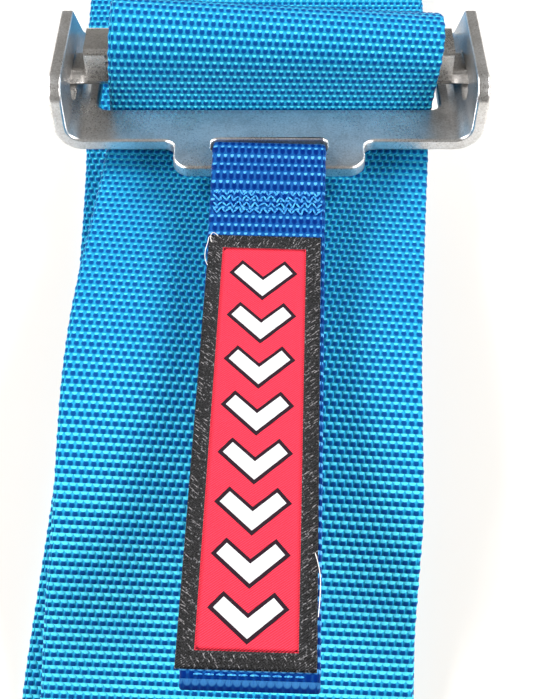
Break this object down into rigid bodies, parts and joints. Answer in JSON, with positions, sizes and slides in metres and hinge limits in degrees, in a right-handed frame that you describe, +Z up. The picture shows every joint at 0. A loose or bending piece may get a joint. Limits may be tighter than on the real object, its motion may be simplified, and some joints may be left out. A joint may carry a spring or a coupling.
{
  "type": "racing harness belt",
  "caption": "Adjustable belt of a racing harness: blue webbing through a tilting steel slide adjuster with a labelled pull tab, a latch tongue and a bolt-in anchor bracket.",
  "frame": {"origin": "middle of the bounding box on the surface the belt lies on", "axes": "+X across the belt, +Y along it towards the latch tongue and the anchor bracket, +Z up"},
  "size_m": [0.1032, 0.4864, 0.0415],
  "materials": {
    "web_blue": "coarse plain weave with a slight sheen",
    "tab_blue": "finer plain weave",
    "label_black": "woven label edge",
    "label_red": "satin weave",
    "label_white": "woven thread",
    "thread_blue": "sewing thread",
    "thread_black": "sewing thread",
    "plated_steel": "bright plated, finely speckled",
    "knurled_steel": "bright plated"
  },
  "bodies": {
    "webbing": {"under_web": "web_blue", "load_web": "web_blue", "tail_web": "web_blue", "tail_hem": "web_blue", "tail_hem_stitching": "thread_blue", "short_web": "web_blue", "short_web_stitching": "thread_blue", "anchor_stitching": "thread_blue"},
    "adjuster": {"adjuster_frame": "plated_steel", "bar_wrap_web": "web_blue"},
    "bar": {"friction_bar": "knurled_steel"},
    "tab": {"pull_tab": "tab_blue", "tab_bartack": "thread_black", "label_backing": "label_black", "label_field": "label_red", "label_chevrons": "label_white", "label_stitching": "thread_black", "tab_end_stitching": "thread_black"},
    "tongue": {"latch_tongue": "plated_steel"},
    "bracket": {"anchor_bracket": "plated_steel"}
  },
  "joints": [
    {"name": "frame_tilt", "type": "hinge", "parent": "webbing", "child": "adjuster", "pos_m": [0.0035, 0.0315, 0.00789], "axis": [-1, 0, 0], "range_deg": [0, 25]},
    {"name": "bar_slide", "type": "slide", "parent": "adjuster", "child": "bar", "axis": [0, -0.9397, 0.342], "range_m": [0, 0.0015]},
    {"name": "tab_swing", "type": "hinge", "parent": "adjuster", "child": "tab", "pos_m": [0.0016, -0.01212, 0.02377], "axis": [-1, 0, 0], "range_deg": [0, 85]},
    {"name": "tongue_swing", "type": "hinge", "parent": "webbing", "child": "tongue", "pos_m": [0.0035, 0.0855, 0.0073], "axis": [1, 0, 0], "range_deg": [0, 110]},
    {"name": "bracket_swing", "type": "hinge", "parent": "webbing", "child": "bracket", "pos_m": [-0.0011, 0.18919, 0.0054], "axis": [0.9996, -0.0279, 0], "range_deg": [0, 110]}
  ]
}
